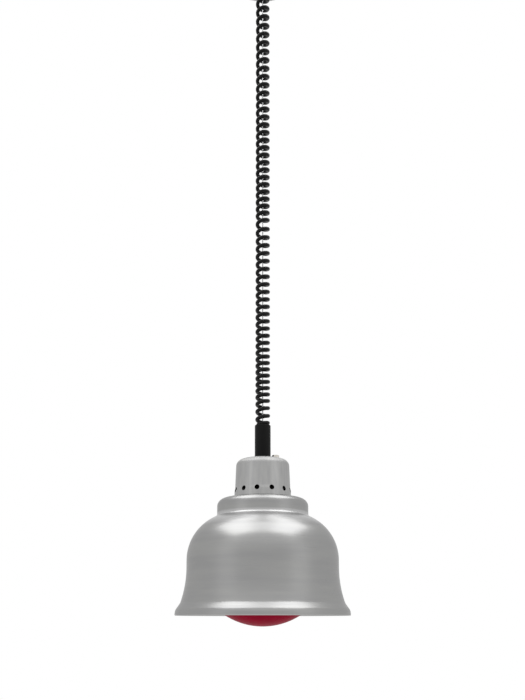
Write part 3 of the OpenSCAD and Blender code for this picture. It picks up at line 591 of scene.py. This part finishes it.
def round_axis(tree, place, ring_share, turn_share):
    """A vector that follows rings round the lamp's axis: tight across them, and long along them."""
    parts = add(tree, "SeparateXYZ", {"Vector": place}).outputs
    flat = add(tree, "CombineXYZ", {"X": parts["X"], "Y": parts["Y"]}).outputs["Vector"]
    radius = add(tree, "VectorMath", {0: flat}, operation="LENGTH").outputs["Value"]
    across = add(tree, "Math", {0: parts["Z"], 1: radius}, operation="SUBTRACT").outputs["Value"]
    across = add(tree, "Math", {0: across, 1: ring_share}, operation="MULTIPLY").outputs["Value"]
    turned = add(tree, "VectorMath", {0: flat, "Scale": turn_share}, operation="SCALE").outputs["Vector"]
    lifted = add(tree, "CombineXYZ", {"Z": across}).outputs["Vector"]
    return add(tree, "VectorMath", {0: turned, 1: lifted}, operation="ADD").outputs["Vector"]


# Spun aluminium, satin: rings from the spinning tool show as soft bands about 10 mm wide, with a polishing
# grain between them that is really 0.1 to 0.2 mm fine and is drawn 1.1 mm wide. The cove under the collar
# is painted paler and less metallic, a painted highlight of the light that the collar's wall throws into it
# Heights above the rim where the cove's painted highlight rises, holds and fades out
PAINTED_HIGHLIGHT_LOW = 113
PAINTED_HIGHLIGHT_FULL = 121
PAINTED_HIGHLIGHT_TOP = 131
PAINTED_HIGHLIGHT_END = 133
spun, tree, shader, place = material("spun_aluminium", {"Metallic": 1.0, "Anisotropic": 0.35,
                                                        "Specular Tint": srgb("#E4E4E4")})
rings = round_axis(tree, place, 1.0, 0.12)
bands = add(tree, "TexNoise", {"Vector": rings, "Scale": cells(10.526), "Detail": 4.0}).outputs["Fac"]
grain = round_axis(tree, place, 1.0, 0.02)
lines = add(tree, "TexNoise", {"Vector": grain, "Scale": cells(1.1111), "Detail": 2.0}).outputs["Fac"]
height = add(tree, "SeparateXYZ", {"Vector": place}).outputs["Z"]
# Painted highlight: in a band of heights round the cove, the base turns paler and less metallic
painted_highlight = add(tree, "MapRange", {"Value": height, "From Min": from_rim(PAINTED_HIGHLIGHT_LOW),
                                "From Max": from_rim(PAINTED_HIGHLIGHT_FULL)}).outputs["Result"]
under = add(tree, "MapRange", {"Value": height, "From Min": from_rim(PAINTED_HIGHLIGHT_END),
                               "From Max": from_rim(PAINTED_HIGHLIGHT_TOP)}).outputs["Result"]
painted_highlight = add(tree, "Math", {0: painted_highlight, 1: under}, operation="MULTIPLY").outputs["Value"]
share = add(tree, "MapRange", {"Value": bands, "From Min": 0.35, "From Max": 0.65}).outputs["Result"]
polished = add(tree, "Mix", {0: share, 6: srgb("#8F8F8F"), 7: srgb("#949493")}, data_type="RGBA").outputs[2]
base = add(tree, "Mix", {0: painted_highlight, 6: polished, 7: srgb("#ACACAC")}, data_type="RGBA").outputs[2]
tree.links.new(base, shader.inputs["Base Color"])
metal = add(tree, "MapRange", {"Value": painted_highlight, "To Min": 1.0, "To Max": 0.78}).outputs["Result"]
tree.links.new(metal, shader.inputs["Metallic"])
rough = add(tree, "MapRange", {"Value": lines, "To Min": 0.24, "To Max": 0.36}).outputs["Result"]
tree.links.new(rough, shader.inputs["Roughness"])
around = add(tree, "Tangent", direction_type="RADIAL", axis="Z").outputs["Tangent"]
tree.links.new(around, shader.inputs["Tangent"])
relief = add(tree, "Bump", {"Height": lines, "Strength": 0.12, "Distance": 0.2 * MM}).outputs["Normal"]
tree.links.new(relief, shader.inputs["Normal"])

# Drawn aluminium cup, satin: drawn lengthwise and only buffed, so it is a shade paler than the spun bell,
# with upright streaks about 4 mm wide. Its top edge, which the wheel only brushes, is duller
BROW_LOW = 193
BROW_FULL = 199
drawn, tree, shader, place = material("drawn_aluminium", {"Metallic": 1.0, "Anisotropic": 0.35,
                                                          "Specular Tint": srgb("#E4E4E4")})
upright = round_axis(tree, place, 0.12, 1.0)
streaks = add(tree, "TexNoise", {"Vector": upright, "Scale": cells(3.846), "Detail": 3.0}).outputs["Fac"]
mottle(tree, shader, streaks, "#999999", "#A1A1A0")
buffed = add(tree, "MapRange", {"Value": streaks, "To Min": 0.26, "To Max": 0.34}).outputs["Result"]
height = add(tree, "SeparateXYZ", {"Vector": place}).outputs["Z"]
brow = add(tree, "MapRange", {"Value": height, "From Min": from_rim(BROW_LOW),
                              "From Max": from_rim(BROW_FULL), "To Min": 0.26,
                              "To Max": 0.58}).outputs["Result"]
rough = add(tree, "Math", {0: buffed, 1: brow}, operation="MAXIMUM").outputs["Value"]
tree.links.new(rough, shader.inputs["Roughness"])
around = add(tree, "Tangent", direction_type="RADIAL", axis="Z").outputs["Tangent"]
tree.links.new(around, shader.inputs["Tangent"])

# Zinc-plated steel sheet and fasteners: bright but uneven, with a faint bluish bloom 6 mm across in the zinc
zinc, tree, shader, place = material("zinc_plated_steel", {"Metallic": 1.0})
bloom = add(tree, "TexNoise", {"Vector": place, "Scale": cells(6.25), "Detail": 5.0}).outputs["Fac"]
mottle(tree, shader, bloom, "#B3B7BC", "#C9CBCC", (0.22, 0.42))

# Nickel plate on screws and the bulb's cap: bright, warm, with handling marks 2 mm across
nickel, tree, shader, place = material("nickel_plate", {"Metallic": 1.0})
marks = add(tree, "TexNoise", {"Vector": place, "Scale": cells(2.381), "Detail": 6.0}).outputs["Fac"]
mottle(tree, shader, marks, "#C2BDB4", "#D3CFC8", (0.14, 0.3))

# Galvanised wire strand: grey zinc, dull in patches about 1 mm long
strand, tree, shader, place = material("wire_strand", {"Metallic": 1.0})
dull = add(tree, "TexNoise", {"Vector": place, "Scale": cells(1.1111), "Detail": 4.0}).outputs["Fac"]
mottle(tree, shader, dull, "#A9ABAD", "#CFD0D0", (0.28, 0.5))

# Spring steel, blued by its hardening in clouds about 17 mm across
spring, tree, shader, place = material("spring_steel", {"Metallic": 1.0})
heat = add(tree, "TexNoise", {"Vector": place, "Scale": cells(16.667), "Detail": 2.0}).outputs["Fac"]
mottle(tree, shader, heat, "#5C6470", "#8A8F96", (0.2, 0.34))

# Brass contacts and screws, slightly tarnished in spots of 4 to 5 mm
brass, tree, shader, place = material("brass", {"Metallic": 1.0})
tarnish = add(tree, "TexNoise", {"Vector": place, "Scale": cells(4.545), "Detail": 5.0}).outputs["Fac"]
mottle(tree, shader, tarnish, "#A98345", "#D8B66A", (0.4, 0.22))

# Black nylon: moulded, with a fine spark-eroded skin that scatters a faint sheen. Its pits are really about
# 0.05 mm and are drawn 0.7 mm wide, over long clouds 11 mm wide
nylon, tree, shader, place = material("black_nylon", {"IOR": 1.53, "Specular IOR Level": 0.1})
pits = add(tree, "TexNoise", {"Vector": place, "Scale": cells(0.71429), "Detail": 2.0}).outputs["Fac"]
drawn_out = add(tree, "Mapping", {"Vector": place, "Scale": (1, 1, 0.12)}).outputs["Vector"]
cloud = add(tree, "TexNoise", {"Vector": drawn_out, "Scale": cells(11.111), "Detail": 3.0}).outputs["Fac"]
mottle(tree, shader, cloud, "#050505", "#090909")
rough = add(tree, "MapRange", {"Value": pits, "To Min": 0.42, "To Max": 0.6}).outputs["Result"]
tree.links.new(rough, shader.inputs["Roughness"])
relief = add(tree, "Bump", {"Height": pits, "Strength": 0.25, "Distance": 0.1 * MM}).outputs["Normal"]
tree.links.new(relief, shader.inputs["Normal"])

# PVC flex, set in its curls: black, smooth, a little greasy to the touch in smears of about 4 mm
pvc, tree, shader, place = material("black_flex", {"IOR": 1.54, "Specular IOR Level": 0.12})
haze = add(tree, "TexNoise", {"Vector": place, "Scale": cells(4.1667), "Detail": 4.0}).outputs["Fac"]
mottle(tree, shader, haze, "#040404", "#080808", (0.3, 0.46))

# Switch plastic: black polyamide, glossier than the nylon where fingers touch it, in marks of 2 mm
button, tree, shader, place = material("switch_plastic", {"IOR": 1.53})
touch = add(tree, "TexNoise", {"Vector": place, "Scale": cells(2), "Detail": 3.0}).outputs["Fac"]
mottle(tree, shader, touch, "#141414", "#1E1E1E", (0.22, 0.38))

# Natural nylon terminal block: milky in clouds of about 8 mm, lets a little light in
milky, tree, shader, place = material("white_nylon", {"IOR": 1.53, "Subsurface Weight": 0.25,
                                                      "Subsurface Scale": 2 * MM})
milk = add(tree, "TexNoise", {"Vector": place, "Scale": cells(7.692), "Detail": 3.0}).outputs["Fac"]
mottle(tree, shader, milk, "#DAD6C8", "#E6E3D8", (0.4, 0.5))

# Porcelain coloured dark brown, which is painted shade for the shadow inside the cap, with pale specks about
# 4 mm apart
porcelain, tree, shader, place = material("porcelain", {"IOR": 1.5, "Roughness": 0.22,
                                                        "Specular IOR Level": 0.3})
speck = add(tree, "TexVoronoi", {"Vector": place, "Scale": cells(3.846)}).outputs["Distance"]
mottle(tree, shader, speck, "#5A4436", "#1C1411", spread=(0.02, 0.07))

# Black glass round the bulb's contact, with swirls of about 3 mm
vitrite, tree, shader, place = material("black_vitrite", {"IOR": 1.55, "Roughness": 0.12})
swirl = add(tree, "TexNoise", {"Vector": place, "Scale": cells(3.333), "Detail": 3.0}).outputs["Fac"]
mottle(tree, shader, swirl, "#0C0A12", "#1B1822")

# Solder: grey, half bright, in lumps of about 1.5 mm
solder, tree, shader, place = material("solder", {"Metallic": 1.0})
lump = add(tree, "TexNoise", {"Vector": place, "Scale": cells(1.4286), "Detail": 4.0}).outputs["Fac"]
mottle(tree, shader, lump, "#9A9B9C", "#BFC0C2", (0.25, 0.5))
relief = add(tree, "Bump", {"Height": lump, "Strength": 0.5, "Distance": 0.3 * MM}).outputs["Normal"]
tree.links.new(relief, shader.inputs["Normal"])

# Drawn tungsten, grey and burnt in spots of about 1 mm
tungsten, tree, shader, place = material("tungsten", {"Metallic": 1.0})
burnt = add(tree, "TexNoise", {"Vector": place, "Scale": cells(1.25), "Detail": 3.0}).outputs["Fac"]
mottle(tree, shader, burnt, "#55534F", "#7C7A76", (0.4, 0.6))

# Clear lead glass of the bulb's stem, faintly green in streaks of about 11 mm
clear, tree, shader, place = material("clear_glass", {"IOR": 1.56, "Roughness": 0.02,
                                                      "Transmission Weight": 1.0})
seed = add(tree, "TexNoise", {"Vector": place, "Scale": cells(11.111), "Detail": 2.0}).outputs["Fac"]
mottle(tree, shader, seed, "#E6F0EC", "#F6FBF9")

# Ruby-stained pressed glass of the face, frosted within, its stain uneven in patches of about 14 mm; above
# the edge of the face the inside is silvered
SILVER_LOW = 19
SILVER_FULL = 21
ruby, tree, shader, place = material("ruby_glass", {"IOR": 1.5, "Specular IOR Level": 0.006})
height = add(tree, "SeparateXYZ", {"Vector": place}).outputs["Z"]
silvered = add(tree, "MapRange", {"Value": height, "From Min": from_rim(SILVER_LOW),
                                  "From Max": from_rim(SILVER_FULL)}).outputs["Result"]
stain = add(tree, "TexNoise", {"Vector": place, "Scale": cells(14.286), "Detail": 3.0}).outputs["Fac"]
share = add(tree, "MapRange", {"Value": stain, "From Min": 0.35, "From Max": 0.65}).outputs["Result"]
red = add(tree, "Mix", {0: share, 6: srgb("#860523"), 7: srgb("#8E0727")}, data_type="RGBA").outputs[2]
glass = add(tree, "Mix", {0: silvered, 6: red, 7: srgb("#A5A29E")}, data_type="RGBA").outputs[2]
tree.links.new(glass, shader.inputs["Base Color"])
tree.links.new(silvered, shader.inputs["Metallic"])
rough = add(tree, "MapRange", {"Value": stain, "To Min": 0.3, "To Max": 0.4}).outputs["Result"]
tree.links.new(rough, shader.inputs["Roughness"])

# PVC insulation of the three cores: the brown and the blue are uneven in patches of about 3 mm, and the
# earth is green on one side and yellow on the other, with a sharp edge between them
cores = []
for name, dark, light in (("core_brown", "#4A2A17", "#5E381F"), ("core_blue", "#1F4F8C", "#2C64A8")):
    core, tree, shader, place = material(name, {"IOR": 1.54, "Roughness": 0.35})
    patch = add(tree, "TexNoise", {"Vector": place, "Scale": cells(3.333), "Detail": 3.0}).outputs["Fac"]
    mottle(tree, shader, patch, dark, light)
    cores.append(core)
core, tree, shader, place = material("core_earth", {"IOR": 1.54, "Roughness": 0.35})
across = add(tree, "SeparateXYZ", {"Vector": place}).outputs["X"]
mottle(tree, shader, across, "#4F7A1E", "#C9B72A", spread=(-0.04 * MM, 0.04 * MM))
cores.insert(1, core)

FINISHES = {"spun_aluminium": spun, "plated_steel": zinc, "nickel_plate": nickel, "wire_strand": strand,
            "spring_steel": spring, "brass": brass, "black_nylon": nylon, "black_flex": pvc,
            "switch_plastic": button, "white_nylon": milky, "porcelain": porcelain, "black_vitrite": vitrite,
            "solder": solder, "tungsten": tungsten, "clear_glass": clear, "red_glass": ruby,
            "core_insulation": cores[0]}
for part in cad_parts.values():
    for held in part.material_slots:
        held.material = FINISHES[held.material.name.split(".")[0]]
for piece, finish in ((shade, spun), (cap, drawn), (canopy, spun), (sleeve, nylon), (bulb, ruby), (flex, pvc),
                      (wire, strand), (turns, strand), *zip(leads, cores)):
    piece.data.materials.clear()
    piece.data.materials.append(finish)


# Studio: a white surround that metal and glass show too, a wide soft box over each shoulder with weaker ones
# between and before them, a strip box on each side and a pale floor. Places and sizes are metres

FLOOR_Z = -1.6
FLOOR_SIZE = 8
SURROUND_LIGHT = 0.5
FLOOR_GLOW = 0.5
LAMPS = (("soft_box_left", (-0.8, -0.2, 0.6), (0, 0, 0), (1.0, 1.45), 11.3),
         ("soft_box_right", (0.8, -0.2, 0.6), (0, 0, 0), (1.0, 1.45), 11.6),
         ("soft_box_middle", (0, 0.44, 0.6), (0, 0, 0), (0.6, 2.7), 7.2),
         ("soft_box_front", (0, -2.0, 0.6), (0, 0, 0), (3.4, 1.8), 3.0),
         ("strip_box_left", (-1.28, -0.96, -0.2), (90, 0, -53), (0.8, 1.6), 0.95),
         ("strip_box_right", (1.3, -0.92, -0.2), (90, 0, 54), (0.8, 1.6), 1.08))


def seen(tree):
    """One for rays that show the background: the camera's, and those that metal and glass send on."""
    path = add(tree, "LightPath").outputs
    shown = add(tree, "Math", {0: path["Is Camera Ray"], 1: path["Is Glossy Ray"]}, operation="MAXIMUM")
    sent_on = {0: shown.outputs["Value"], 1: path["Is Transmission Ray"]}
    return add(tree, "Math", sent_on, operation="MAXIMUM").outputs["Value"]


world = bpy.data.worlds.new("studio")
bpy.context.scene.world = world
world.use_nodes = True
tree = world.node_tree
tree.nodes.clear()
soft = add(tree, "Background", {"Color": srgb("#FFFFFF"), "Strength": SURROUND_LIGHT}).outputs["Background"]
white = add(tree, "Background", {"Color": srgb("#FFFFFF"), "Strength": 1.0}).outputs["Background"]
lit = add(tree, "MixShader", {"Fac": seen(tree), 1: soft, 2: white}).outputs["Shader"]
add(tree, "OutputWorld", {"Surface": lit})

for name, place, turned, size, power in LAMPS:
    bpy.ops.object.light_add(type="AREA", location=place, rotation=[math.radians(value) for value in turned])
    lamp = bpy.context.object
    lamp.name = name
    lamp.data.shape = "RECTANGLE"
    lamp.data.size, lamp.data.size_y = size
    lamp.data.energy = power

bpy.ops.object.select_all(action="DESELECT")
bpy.ops.mesh.primitive_plane_add(size=FLOOR_SIZE, location=(0, 0, FLOOR_Z))
floor = bpy.context.object
floor.name = "floor"
ground, tree, shader, _ = material("pale_floor", {"Roughness": 0.8, "Base Color": srgb("#F2F2F2")})
glow = add(tree, "Math", {0: seen(tree), 1: FLOOR_GLOW}, operation="MULTIPLY").outputs["Value"]
shine = add(tree, "Emission", {"Color": srgb("#FFFFFF"), "Strength": glow}).outputs["Emission"]
joined = add(tree, "AddShader", {0: shader.outputs["BSDF"], 1: shine}).outputs["Shader"]
tree.links.new(joined, tree.nodes["Material Output"].inputs["Surface"])
floor.data.materials.append(ground)

bpy.context.scene.view_settings.view_transform = "Standard"
